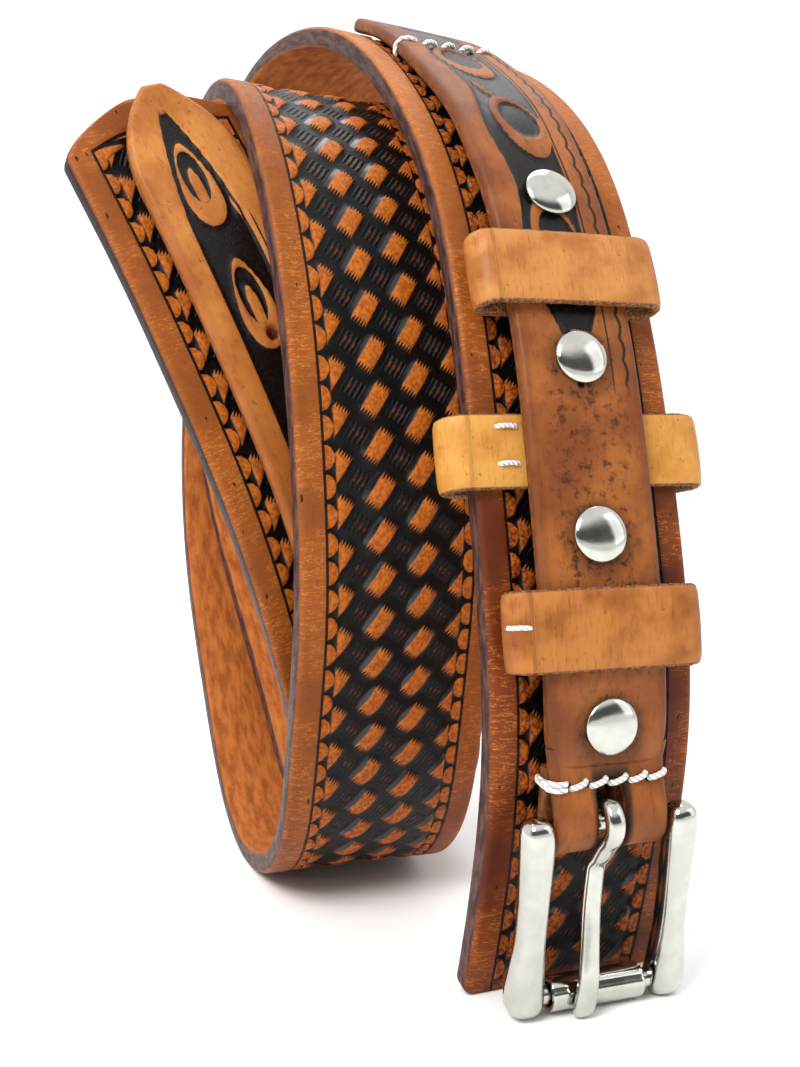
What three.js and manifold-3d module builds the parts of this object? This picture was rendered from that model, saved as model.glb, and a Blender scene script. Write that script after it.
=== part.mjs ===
// A western leather belt, coiled and standing on the turns of its own strap.
// Millimetres, +Z up. The buckle end hangs at the front, the strap climbs from it over two crests,
// and the pointed end leans out to the left behind the middle turn.
import * as THREE from "three";
import { mergeVertices } from "three/addons/utils/BufferGeometryUtils.js";
import Module from "manifold-3d";

const wasm = await Module();
wasm.setup();

// Driving sizes of the strap
const strapLength = 1101;
const strapWidth = 38;
const strapThickness = 4.4;
const strapEdgeRound = 1.2;
const strapCornerRound = 2.4;
const strapPointLength = 9;
const strapPointWidth = 8;

// Driving sizes of the two billets, the narrow straps that carry the buckle and the point
const billetWidth = 22;
const billetThickness = 2.8;
const billetEdgeRound = 0.7;
const buckleBilletEnd = 214;
const tipBilletLength = 190;
const tipBilletTaper = 22;
const tipBilletNose = 3;
const foldWidth = 20.8;
const foldLeather = 2.3;
const foldFlapLength = 10;
const stitchedDown = 30;
const easeLength = 32;

// Driving sizes of the keepers, the loops that hold a loose end down
const keeperBand = 12.7;
const keeperLeather = 2.0;
const keeperBulge = 4.6;
const middleKeeperBulge = 3.4;

// Driving sizes of the snap fasteners
const snapFirst = 50;
const snapPitch = 29.6;
const snapCount = 4;
const snapCapRadius = 4.75;
const snapCapRim = 0.7;
const snapCapDome = 1.2;
const snapPostRadius = 1.5;
const snapStudRadius = 4.1;
const snapBackRadius = 4.4;
const snapBackHeight = 0.9;
const tipSnapFromPoint = 148;

// Driving sizes of the buckle
const pivotAt = 34.5;
const pivotRadius = 1.5;
const frameLength = 35;
const frameWidth = 32;
const armHead = 3.1;
const armWidth = 5.2;
const armFootWidth = 6.2;
const armDepth = 5.2;
const armFootDepth = 6.4;
const armLift = 3.3;
const endBarRadius = 1.7;
const endBarInset = 2.8;
const rollerRadius = 3;
const rollerSlack = 2.8;
const tongueWidth = 3.4;
const tongueThickness = 2.2;
const tongueOverhang = 2.5;
const tongueOffset = 0.7;
const tongueDrift = 3.1;
const slotWidth = 5.5;
const slotReach = 7.5;

// Adjusting holes in the tip billet
const holeCount = 4;
const holeRadius = 1.6;
const holeFirst = 52;
const holePitch = 16;

// Clearances
const gap = 0.35;
const runningGap = 0.3;
const boreGap = 0.35;
const restFlat = 0.6;

// Finish of each material: colour, roughness, metalness
const saddle = { color: 0xa8591f, roughness: 0.45, metalness: 0 };
const tan = { color: 0xc98440, roughness: 0.5, metalness: 0 };
const honey = { color: 0xd08a33, roughness: 0.5, metalness: 0 };
const nickel = { color: 0xd6d2c8, roughness: 0.15, metalness: 1 };

// The turns of the coil, from the buckle end to the point: share of the strap's length, heading in
// the upright front-to-back plane (0 up, 90 back, 180 down, 270 forward), lean to the right and twist
const turns = [
  { at: 0.0, heading: -19, lean: 1, twist: -2.5 },
  { at: 0.03, heading: -9, lean: 1, twist: -1.5 },
  { at: 0.06, heading: 12, lean: 1, twist: 1 },
  { at: 0.09, heading: 18, lean: 1, twist: 0 },
  { at: 0.12, heading: 29, lean: 1, twist: -2 },
  { at: 0.15, heading: 52, lean: -0.5, twist: -2 },
  { at: 0.18, heading: 71, lean: -3, twist: -6.5 },
  { at: 0.21, heading: 93, lean: -5, twist: -10 },
  { at: 0.24, heading: 122, lean: -5.5, twist: -15 },
  { at: 0.27, heading: 159, lean: -5, twist: -9 },
  { at: 0.3, heading: 171, lean: -4, twist: -5 },
  { at: 0.33, heading: 194, lean: -3, twist: -3 },
  { at: 0.36, heading: 218, lean: -2.5, twist: -1 },
  { at: 0.39, heading: 229, lean: -3, twist: 0.5 },
  { at: 0.42, heading: 256, lean: -3.5, twist: -5.5 },
  { at: 0.45, heading: 290, lean: -4, twist: 0.5 },
  { at: 0.48, heading: 332, lean: -3.5, twist: 1 },
  { at: 0.51, heading: 345, lean: -1.5, twist: -1.5 },
  { at: 0.54, heading: 362, lean: -2.5, twist: 1 },
  { at: 0.57, heading: 381, lean: -3, twist: -5.5 },
  { at: 0.6, heading: 413, lean: 1.5, twist: -8 },
  { at: 0.63, heading: 454, lean: 5, twist: -3 },
  { at: 0.66, heading: 475, lean: 7.5, twist: -2 },
  { at: 0.69, heading: 498, lean: 8.5, twist: -2.5 },
  { at: 0.72, heading: 522, lean: 8.5, twist: -3 },
  { at: 0.75, heading: 557, lean: 7, twist: -3.5 },
  { at: 0.78, heading: 582, lean: 3, twist: 0 },
  { at: 0.81, heading: 600, lean: -3, twist: -0.5 },
  { at: 0.84, heading: 636, lean: -9.5, twist: -3.5 },
  { at: 0.87, heading: 679, lean: -15, twist: -2 },
  { at: 0.9, heading: 705, lean: -18, twist: -1 },
  { at: 0.93, heading: 726, lean: -20, twist: -4 },
  { at: 0.96, heading: 741, lean: -19, twist: -1 },
  { at: 0.99, heading: 746, lean: -20, twist: -2 },
  { at: 1.0, heading: 738, lean: -16, twist: -4 },
];

// A smooth curve through one column of the turns, at a share of the length
function turnAt(share, column) {
  const last = turns.length - 1;
  let k = 0;
  while (k < last - 1 && turns[k + 1].at <= share) k += 1;
  const slope = (i) => {
    const a = turns[Math.max(i - 1, 0)];
    const b = turns[Math.min(i + 1, last)];
    return (b[column] - a[column]) / (b.at - a.at);
  };
  const step = turns[k + 1].at - turns[k].at;
  const t = (share - turns[k].at) / step;
  const keep = (1 + 2 * t) * (1 - t) ** 2;
  return (
    turns[k][column] * keep +
    turns[k + 1][column] * (1 - keep) +
    slope(k) * step * t * (1 - t) ** 2 -
    slope(k + 1) * step * t * t * (1 - t)
  );
}

// The strap's own axes at a share of its length: along it, across its face, and out of its grain side
function axesAt(share) {
  const heading = THREE.MathUtils.degToRad(turnAt(share, "heading"));
  const lean = THREE.MathUtils.degToRad(turnAt(share, "lean"));
  const twist = THREE.MathUtils.degToRad(turnAt(share, "twist"));
  const along = new THREE.Vector3(
    Math.sin(lean),
    Math.cos(lean) * Math.sin(heading),
    Math.cos(lean) * Math.cos(heading),
  );
  const level = new THREE.Vector3(
    Math.cos(lean),
    -Math.sin(lean) * Math.sin(heading),
    -Math.sin(lean) * Math.cos(heading),
  );
  const facing = new THREE.Vector3(0, -Math.cos(heading), Math.sin(heading));
  const across = level.clone().multiplyScalar(Math.cos(twist)).addScaledVector(facing, Math.sin(twist));
  const out = facing.clone().multiplyScalar(Math.cos(twist)).addScaledVector(level, -Math.sin(twist));
  return { along, across, out };
}

// The centre line of the strap, worked out by walking along it in short steps
const walkSteps = 1100;
const walk = [];
{
  const point = new THREE.Vector3();
  for (let i = 0; i <= walkSteps; i += 1) {
    const axes = axesAt(i / walkSteps);
    if (i > 0) {
      const stride = strapLength / walkSteps / 2;
      point.addScaledVector(walk[i - 1].along, stride).addScaledVector(axes.along, stride);
    }
    walk.push({ ...axes, point: point.clone() });
  }
}

// The point and axes at a distance along the strap, straight on beyond its ends
function frameAt(distance) {
  const x = THREE.MathUtils.clamp((distance / strapLength) * walkSteps, 0, walkSteps);
  const i = Math.min(Math.floor(x), walkSteps - 1);
  const mix = (name) => walk[i][name].clone().lerp(walk[i + 1][name], x - i);
  const along = mix("along").normalize();
  const across = mix("across").normalize();
  const out = across.clone().cross(along).normalize();
  const beyond = distance - (x / walkSteps) * strapLength;
  return { along, across, out, point: mix("point").addScaledVector(along, beyond) };
}

// A place on the strap: across it, along it, and out from its centre line
function place(across, distance, out) {
  const f = frameAt(distance);
  return f.point.addScaledVector(f.across, across).addScaledVector(f.out, out);
}

// Heights above the strap's centre line
const face = strapThickness / 2;
const keeperUnder = face + gap;
const billetUnder = keeperUnder + keeperLeather + gap;
const billetTop = billetUnder + billetThickness;
const layDown = face + gap;
const foldInner = pivotRadius + boreGap;
const pivotHeight = face + gap + foldLeather + foldInner;

// A closed body from a three.js geometry, turned to face outwards
function solid(geometry) {
  const bare = new THREE.BufferGeometry();
  bare.setAttribute("position", geometry.getAttribute("position").clone());
  if (geometry.index) bare.setIndex(geometry.index.clone());
  const merged = mergeVertices(bare, 1e-4);
  const vertProperties = new Float32Array(merged.attributes.position.array);
  const index = merged.index.array;
  const corners = [];
  for (let i = 0; i < index.length; i += 3) {
    const [a, b, c] = [index[i], index[i + 1], index[i + 2]];
    if (a !== b && b !== c && c !== a) corners.push([a, b, c]);
  }
  const make = (triples) => {
    const triVerts = new Uint32Array(triples.flat());
    return new wasm.Manifold(new wasm.Mesh({ numProp: 3, vertProperties, triVerts }));
  };
  const made = make(corners);
  return made.volume() > 0 ? made : make(corners.map(([a, b, c]) => [a, c, b]));
}

// A body lofted through closed rings of points, with flat ends
function loft(rings) {
  const size = rings[0].length;
  const points = rings.flat();
  const indices = [];
  for (let r = 0; r + 1 < rings.length; r += 1) {
    for (let k = 0; k < size; k += 1) {
      const a = r * size + k;
      const b = r * size + ((k + 1) % size);
      indices.push(a, b, b + size, a, b + size, a + size);
    }
  }
  const last = (rings.length - 1) * size;
  for (let k = 1; k + 1 < size; k += 1) {
    indices.push(0, k + 1, k);
    indices.push(last, last + k, last + k + 1);
  }
  const geometry = new THREE.BufferGeometry().setFromPoints(points);
  geometry.setIndex(indices);
  return solid(geometry);
}

// The outline of a strap across its width: flat faces and rounded edges
function bandSection(halfWidth, under, top, round) {
  const r = Math.min(round, halfWidth * 0.45, (top - under) * 0.45);
  const c = r * 0.3;
  return [
    [-halfWidth + r, top],
    [halfWidth - r, top],
    [halfWidth - c, top - c],
    [halfWidth, top - r],
    [halfWidth, under + r],
    [halfWidth - c, under + c],
    [halfWidth - r, under],
    [-halfWidth + r, under],
    [-halfWidth + c, under + c],
    [-halfWidth, under + r],
    [-halfWidth, top - r],
    [-halfWidth + c, top - c],
  ];
}

// A strap laid along the route: half width and height above the centre line are functions of the place
function layBand(stations, halfWidthAt, underAt, topAt, round) {
  const rings = stations.map((s) =>
    bandSection(halfWidthAt(s), underAt(s), topAt(s), round).map(([u, n]) => place(u, s, n)),
  );
  return loft(rings);
}

// Stations from one place to another, no further apart than a step
function stationsBetween(from, to, step) {
  const count = Math.max(1, Math.ceil((to - from) / step));
  return Array.from({ length: count + 1 }, (unused, i) => from + ((to - from) * i) / count);
}

// A smooth rise from 0 to 1
function ease(t) {
  const x = THREE.MathUtils.clamp(t, 0, 1);
  return x * x * (3 - 2 * x);
}

// Turns a lathe or extrusion whose Y axis is "out" so that it stands on the strap at a place
function standOn(geometry, distance, height) {
  const f = frameAt(distance);
  const basis = new THREE.Matrix4().makeBasis(f.across, f.out, f.along.clone().negate());
  basis.setPosition(place(0, distance, height));
  return geometry.clone().applyMatrix4(basis);
}

// A round hole through whatever lies on the strap at a place
function drill(distance, radius) {
  const reach = strapThickness * 3 + billetThickness * 2;
  return solid(standOn(new THREE.CylinderGeometry(radius, radius, reach, 12), distance, 0));
}

// Main strap
function strapHalfWidth(s) {
  const fromPoint = strapLength - s;
  if (fromPoint < strapPointLength) {
    const t = 1 - fromPoint / strapPointLength;
    return (strapWidth / 2) * (1 - t ** 1.6) + (strapPointWidth / 2) * t ** 1.6;
  }
  if (s < strapCornerRound) {
    const t = 1 - s / strapCornerRound;
    return strapWidth / 2 - strapCornerRound * (1 - Math.sqrt(Math.max(0, 1 - t * t)));
  }
  return strapWidth / 2;
}

function makeMainStrap(holes) {
  const start = [0, 0.1, 0.4, 1].map((t) => t * strapCornerRound);
  const point = [0.35, 0.65, 0.88, 1].map((t) => strapLength - strapPointLength * (1 - t));
  const middle = stationsBetween(strapCornerRound, strapLength - strapPointLength, 8).slice(1);
  let body = layBand(
    [...start, ...middle, ...point],
    strapHalfWidth,
    () => -strapThickness / 2,
    () => strapThickness / 2,
    strapEdgeRound,
  );
  for (const s of holes) body = body.subtract(drill(s, snapPostRadius + gap));
  const floor = body.boundingBox().min[2] + restFlat;
  return body.trimByPlane([0, 0, 1], floor);
}

// Buckle billet: one strap that folds round the pivot bar and is stitched back on itself
function buckleBilletUnder(s) {
  const t = ease((s - (buckleBilletEnd - stitchedDown - easeLength)) / easeLength);
  return THREE.MathUtils.lerp(billetUnder, layDown, t);
}

function makeFold() {
  const outer = foldInner + foldLeather;
  const top = pivotAt + foldFlapLength;
  const side = new THREE.Shape();
  side.moveTo(top, face + gap);
  side.lineTo(pivotAt, pivotHeight - outer);
  side.absarc(pivotAt, pivotHeight, outer, -Math.PI / 2, -1.5 * Math.PI, true);
  side.lineTo(pivotAt + 2, pivotHeight + outer);
  side.quadraticCurveTo(pivotAt + 6, pivotHeight + outer - 0.4, top, billetTop);
  side.closePath();
  const eye = new THREE.Path();
  eye.absarc(pivotAt, pivotHeight, foldInner, 0.9, 2 * Math.PI - 0.6, false);
  eye.lineTo(pivotAt + foldInner + 3.4, billetUnder - 0.2);
  eye.closePath();
  side.holes.push(eye);
  const geometry = new THREE.ExtrudeGeometry(side, {
    depth: foldWidth,
    steps: 2,
    curveSegments: 8,
    bevelEnabled: false,
  });
  const position = geometry.getAttribute("position");
  for (let i = 0; i < position.count; i += 1) {
    const p = place(position.getZ(i) - foldWidth / 2, position.getX(i), position.getY(i));
    position.setXYZ(i, p.x, p.y, p.z);
  }
  return solid(geometry);
}

function makeTongueSlot() {
  const low = face;
  const high = pivotHeight + foldInner + foldLeather + 1;
  const from = pivotAt - foldInner - foldLeather - 1;
  const round = pivotAt + slotReach - slotWidth / 2;
  const box = new THREE.BoxGeometry(slotWidth, high - low, round - from);
  const end = new THREE.CylinderGeometry(slotWidth / 2, slotWidth / 2, high - low, 16);
  const middle = (high + low) / 2;
  const straight = solid(standOn(box, (from + round) / 2, middle));
  return straight.add(solid(standOn(end, round, middle)));
}

function buckleBilletHalfWidth(s) {
  const shoulder = pivotAt + foldFlapLength;
  const widened = ease((s - shoulder) / 5);
  const rounded = ease((s - buckleBilletEnd + 3) / 3);
  return THREE.MathUtils.lerp(foldWidth, billetWidth, widened) / 2 - 2.2 * rounded;
}

function makeBuckleBillet(holes) {
  let body = layBand(
    stationsBetween(pivotAt + foldFlapLength - 1, buckleBilletEnd, 7),
    buckleBilletHalfWidth,
    buckleBilletUnder,
    (s) => buckleBilletUnder(s) + billetThickness,
    billetEdgeRound,
  );
  body = body.add(makeFold()).subtract(makeTongueSlot());
  for (const s of holes) body = body.subtract(drill(s, snapPostRadius + gap));
  return body;
}

// Tip billet: pointed, loose beyond its snaps and stitched down at its other end
function tipBilletUnder(s) {
  const root = strapLength - tipBilletLength;
  return THREE.MathUtils.lerp(layDown, billetUnder, ease((s - root - stitchedDown / 3) / easeLength));
}

function tipBilletHalfWidth(s) {
  const t = THREE.MathUtils.clamp(1 - (strapLength - s) / tipBilletTaper, 0, 1);
  return THREE.MathUtils.lerp(billetWidth / 2, tipBilletNose / 2, t ** 2.2);
}

function makeTipBillet(snapHoles, adjustingHoles) {
  const root = strapLength - tipBilletLength;
  const straight = stationsBetween(root, strapLength - tipBilletTaper, 8);
  const pointed = stationsBetween(strapLength - tipBilletTaper, strapLength - 0.5, 3).slice(1);
  let body = layBand(
    [...straight, ...pointed],
    tipBilletHalfWidth,
    tipBilletUnder,
    (s) => tipBilletUnder(s) + billetThickness,
    billetEdgeRound,
  );
  for (const s of snapHoles) body = body.subtract(drill(s, snapPostRadius + gap));
  for (const s of adjustingHoles) body = body.subtract(drill(s, holeRadius));
  return body;
}

// Keepers: a band bent into a long loop with round ends
function keeperRing(halfReach, under, top) {
  const radius = (top - under) / 2;
  const middle = (top + under) / 2;
  const reach = halfReach - radius;
  const trace = (path, r) => {
    path.absarc(reach, middle, r, -Math.PI / 2, Math.PI / 2, false);
    path.absarc(-reach, middle, r, Math.PI / 2, 1.5 * Math.PI, false);
    path.closePath();
  };
  const ring = new THREE.Shape();
  trace(ring, radius);
  const hollow = new THREE.Path();
  trace(hollow, radius - keeperLeather);
  ring.holes.push(hollow);
  return ring;
}

function makeKeeper(centre, halfReach, under, top) {
  const geometry = new THREE.ExtrudeGeometry(keeperRing(halfReach, under, top), {
    depth: keeperBand,
    steps: 3,
    curveSegments: 8,
    bevelEnabled: false,
  });
  const position = geometry.getAttribute("position");
  for (let i = 0; i < position.count; i += 1) {
    const p = place(position.getX(i), centre - keeperBand / 2 + position.getZ(i), position.getY(i));
    position.setXYZ(i, p.x, p.y, p.z);
  }
  return solid(geometry);
}

function makeBilletKeeper(centre) {
  const top = billetTop + gap + keeperLeather;
  return makeKeeper(centre, billetWidth / 2 + keeperLeather + keeperBulge, keeperUnder, top);
}

function makeStrapKeeper(centre) {
  const under = -face - gap - keeperLeather;
  const top = keeperUnder + keeperLeather;
  return makeKeeper(centre, strapWidth / 2 + keeperLeather + middleKeeperBulge, under, top);
}

// Snaps: back plate, post, stud between the leathers, and a domed cap
function makeSnap(s, under) {
  const back = -face - gap;
  const studLow = face + gap;
  const studHigh = under - gap;
  const capLow = under + billetThickness + gap;
  const capSide = capLow + snapCapRim;
  const profile = [
    new THREE.Vector2(0, back - snapBackHeight),
    new THREE.Vector2(snapBackRadius - 0.5, back - snapBackHeight),
    new THREE.Vector2(snapBackRadius, back - snapBackHeight / 2),
    new THREE.Vector2(snapBackRadius, back),
    new THREE.Vector2(snapPostRadius, back),
    new THREE.Vector2(snapPostRadius, studLow),
    new THREE.Vector2(snapStudRadius, studLow),
    new THREE.Vector2(snapStudRadius, studHigh),
    new THREE.Vector2(snapPostRadius, studHigh),
    new THREE.Vector2(snapPostRadius, capLow),
    new THREE.Vector2(snapCapRadius, capLow),
    new THREE.Vector2(snapCapRadius, capSide),
    new THREE.Vector2(snapCapRadius * 0.86, capSide + snapCapDome * 0.55),
    new THREE.Vector2(snapCapRadius * 0.55, capSide + snapCapDome * 0.9),
    new THREE.Vector2(0, capSide + snapCapDome),
  ];
  return solid(standOn(new THREE.LatheGeometry(profile, 16), s, 0));
}

// Buckle, in its own axes from the middle of the pivot bar: X across, Y out, Z down the strap
const armFoot = frameLength - armHead;
const endBarDrop = armFoot - endBarInset;
const endBarLift = armLift - 0.4;
const armCentre = frameWidth / 2 - armWidth / 2;
const rollerLength = 2 * armCentre - armFootWidth - rollerSlack;

// The arms rise from the pivot bar and flare towards the end bar: share of the frame's length, share of
// the arm's lift, share of the way from head to foot in width and depth, and swelling of the section
const armSections = [
  { at: 0.0, lift: 0.8, flare: 0, swell: 0.4 },
  { at: 0.025, lift: 0.8, flare: 0, swell: 0.78 },
  { at: 0.08, lift: 0.82, flare: 0, swell: 1 },
  { at: 0.27, lift: 0.92, flare: 0.05, swell: 0.97 },
  { at: 0.48, lift: 1.02, flare: 0.3, swell: 0.97 },
  { at: 0.7, lift: 1.04, flare: 0.75, swell: 1 },
  { at: 0.86, lift: 1.0, flare: 1, swell: 1 },
  { at: 0.94, lift: 0.97, flare: 1, swell: 0.9 },
  { at: 0.985, lift: 0.95, flare: 0.95, swell: 0.68 },
  { at: 1.0, lift: 0.94, flare: 0.9, swell: 0.4 },
];

function makeArm(side) {
  const rings = armSections.map(({ at, lift, flare, swell }) => {
    const halfWide = (THREE.MathUtils.lerp(armWidth, armFootWidth, flare) * swell) / 2;
    const halfDeep = (THREE.MathUtils.lerp(armDepth, armFootDepth, flare) * swell) / 2;
    return Array.from({ length: 12 }, (unused, k) => {
      const turn = (k / 12) * 2 * Math.PI;
      const x = side * armCentre + halfWide * Math.cos(turn);
      return new THREE.Vector3(x, armLift * lift + halfDeep * Math.sin(turn), at * frameLength - armHead);
    });
  });
  return loft(rings);
}

function barAcross(radius, length, lift, drop, sides) {
  const bar = new THREE.CylinderGeometry(radius, radius, length, sides);
  bar.rotateZ(Math.PI / 2);
  bar.translate(0, lift, drop);
  return solid(bar);
}

function makeFrame() {
  return makeArm(-1)
    .add(makeArm(1))
    .add(barAcross(pivotRadius, 2 * armCentre, 0, 0, 16))
    .add(barAcross(endBarRadius, 2 * armCentre, endBarLift, endBarDrop, 16));
}

function makeRoller() {
  const outer = barAcross(rollerRadius, rollerLength, endBarLift, endBarDrop, 20);
  const bore = barAcross(endBarRadius + runningGap, rollerLength + 2, endBarLift, endBarDrop, 20);
  return outer.subtract(bore);
}

// The tongue hooks round the pivot bar: turn in degrees from straight down the strap, outwards positive,
// and reach of its middle line as a share of the reach that just clears the bar
const tongueHook = [
  { turn: -40, reach: 1 },
  { turn: -65, reach: 1 },
  { turn: -90, reach: 1 },
  { turn: -115, reach: 1 },
  { turn: -140, reach: 1 },
  { turn: -165, reach: 1.04 },
  { turn: -187, reach: 1.25 },
  { turn: -206, reach: 1.62 },
  { turn: -222, reach: 1.87 },
  { turn: -240, reach: 1.98 },
  { turn: -258, reach: 1.97 },
  { turn: -278, reach: 1.82 },
  { turn: -299, reach: 1.67 },
];

// Then its shank dips into the frame and climbs over the roller: share of the way down to the roller,
// share of the lift over the roller, and widths as shares of the tongue's width and thickness
const tongueShank = [
  { down: 0.16, lift: 0.43, wide: 1.0, thick: 1.08 },
  { down: 0.22, lift: 0.29, wide: 1.0, thick: 1.05 },
  { down: 0.28, lift: 0.28, wide: 1.0, thick: 1.0 },
  { down: 0.48, lift: 0.44, wide: 1.0, thick: 1.0 },
  { down: 0.7, lift: 0.73, wide: 1.02, thick: 1.0 },
  { down: 0.86, lift: 0.93, wide: 1.06, thick: 1.0 },
  { down: 1.0, lift: 1.0, wide: 1.12, thick: 1.0 },
];

function makeTongue() {
  const near = pivotRadius + boreGap + tongueThickness / 2;
  const over = endBarLift + rollerRadius + runningGap + tongueThickness / 2;
  const aside = (drop) => -tongueOffset - tongueDrift * Math.max(0, drop / endBarDrop);
  const line = tongueHook.map(({ turn, reach }) => {
    const angle = THREE.MathUtils.degToRad(turn);
    const drop = near * reach * Math.cos(angle);
    const point = new THREE.Vector3(aside(drop), near * reach * Math.sin(angle), drop);
    return { point, wide: tongueWidth * 0.94, thick: tongueThickness };
  });
  for (const { down, lift, wide, thick } of tongueShank) {
    const drop = endBarDrop * down;
    const point = new THREE.Vector3(aside(drop), over * lift, drop);
    line.push({ point, wide: tongueWidth * wide, thick: tongueThickness * thick });
  }
  for (const [reach, size] of [[0.7, 1], [1, 0.55]]) {
    const drop = endBarDrop + tongueOverhang * reach;
    const point = new THREE.Vector3(aside(drop), over - 0.5 * reach, drop);
    line.push({ point, wide: tongueWidth * 1.15 * size, thick: tongueThickness * size });
  }
  const rings = line.map(({ point, wide, thick }, i) => {
    const before = line[Math.max(i - 1, 0)].point;
    const after = line[Math.min(i + 1, line.length - 1)].point;
    const run = after.clone().sub(before).setX(0).normalize();
    const up = new THREE.Vector3(0, run.z, -run.y);
    return bandSection(wide / 2, -thick / 2, thick / 2, 0.7).map(([x, y]) =>
      point.clone().addScaledVector(up, y).setX(point.x + x),
    );
  });
  return loft(rings);
}

// A body made in the buckle's axes, put on the strap at the pivot bar
function onPivot(body) {
  const f = frameAt(pivotAt);
  const p = place(0, pivotAt, pivotHeight);
  const down = f.along.clone().negate();
  return body.transform([
    f.across.x, f.across.y, f.across.z, 0,
    f.out.x, f.out.y, f.out.z, 0,
    down.x, down.y, down.z, 0,
    p.x, p.y, p.z, 1,
  ]);
}

// Every piece of the belt
const snapPlaces = Array.from({ length: snapCount }, (unused, i) => snapFirst + snapPitch * i);
const tipSnapPlace = strapLength - tipSnapFromPoint;
const adjustingPlaces = Array.from(
  { length: holeCount },
  (unused, i) => strapLength - holeFirst - holePitch * i,
);
const betweenSnaps = (i) => snapFirst + snapPitch * (i + 0.5);

const pieces = [
  { name: "main_strap", finish: saddle, body: makeMainStrap([...snapPlaces, tipSnapPlace]) },
  { name: "buckle_billet", finish: tan, body: makeBuckleBillet(snapPlaces) },
  { name: "tip_billet", finish: tan, body: makeTipBillet([tipSnapPlace], adjustingPlaces) },
  { name: "keeper_lower", finish: tan, body: makeBilletKeeper(betweenSnaps(0)) },
  { name: "keeper_middle", finish: honey, body: makeStrapKeeper(betweenSnaps(1)) },
  { name: "keeper_upper", finish: tan, body: makeBilletKeeper(betweenSnaps(2)) },
  ...snapPlaces.map((s, i) => ({
    name: `snap_${i + 1}`,
    finish: nickel,
    body: makeSnap(s, buckleBilletUnder(s)),
  })),
  { name: "tip_snap", finish: nickel, body: makeSnap(tipSnapPlace, tipBilletUnder(tipSnapPlace)) },
  { name: "buckle_frame", finish: nickel, body: onPivot(makeFrame()) },
  { name: "buckle_roller", finish: nickel, body: onPivot(makeRoller()) },
  { name: "buckle_tongue", finish: nickel, body: onPivot(makeTongue()) },
];

// The origin is under the middle of the whole belt, on the plane it rests on
const whole = new THREE.Box3();
for (const { body } of pieces) {
  const { min, max } = body.boundingBox();
  whole.expandByPoint(new THREE.Vector3(...min));
  whole.expandByPoint(new THREE.Vector3(...max));
}
const middle = whole.getCenter(new THREE.Vector3());

function meshOf({ name, finish, body }) {
  const { vertProperties, triVerts } = body.getMesh();
  const geometry = new THREE.BufferGeometry();
  geometry.setAttribute("position", new THREE.BufferAttribute(new Float32Array(vertProperties), 3));
  geometry.setIndex(new THREE.BufferAttribute(new Uint32Array(triVerts), 1));
  geometry.translate(-middle.x, -middle.y, -whole.min.z);
  geometry.computeVertexNormals();
  const mesh = new THREE.Mesh(geometry, new THREE.MeshStandardMaterial(finish));
  mesh.name = name;
  return mesh;
}

const belt = new THREE.Group();
belt.name = "western_belt";
for (const piece of pieces) belt.add(meshOf(piece));

export default belt;
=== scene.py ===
"""Western leather belt, coiled and standing on its own turns, on a pale floor."""

import math

import bmesh
import bpy
import numpy as np
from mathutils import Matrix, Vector


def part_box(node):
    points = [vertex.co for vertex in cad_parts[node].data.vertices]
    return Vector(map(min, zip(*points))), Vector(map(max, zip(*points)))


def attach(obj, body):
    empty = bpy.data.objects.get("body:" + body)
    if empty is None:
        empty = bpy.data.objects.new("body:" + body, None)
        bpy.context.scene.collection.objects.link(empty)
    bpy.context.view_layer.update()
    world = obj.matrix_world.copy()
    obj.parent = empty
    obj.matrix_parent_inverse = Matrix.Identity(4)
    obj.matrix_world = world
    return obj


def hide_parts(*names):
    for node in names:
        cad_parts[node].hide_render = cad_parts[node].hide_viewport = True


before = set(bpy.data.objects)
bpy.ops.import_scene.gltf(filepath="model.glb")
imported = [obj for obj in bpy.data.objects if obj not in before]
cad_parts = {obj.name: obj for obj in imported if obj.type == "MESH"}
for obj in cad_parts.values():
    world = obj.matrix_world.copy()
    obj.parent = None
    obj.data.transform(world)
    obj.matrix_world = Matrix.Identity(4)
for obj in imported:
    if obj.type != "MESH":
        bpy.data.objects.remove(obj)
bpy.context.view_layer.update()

MM = 0.001

# Sizes of the leather, in millimetres
STRAP_LENGTH = 1101.0
STRAP_HALF = 19.0
FACE = 2.2
BILLET_HALF = 11.0
BILLET_THICK = 2.8
BILLET_UNDER = 4.9
LAY_DOWN = 2.55
BILLET_END = 214.0
TIP_ROOT = 911.0
KEEPER_BAND = 12.7
KEEPER_THICK = 2.0
SNAPS = [50.0, 79.6, 109.2, 138.8]
TIP_SNAP = 953.0
HOLES = [1049.0, 1033.0, 1017.0, 1001.0]
HOLE_RADIUS = 1.6
HOLE_FLOOR = 0.25

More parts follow.
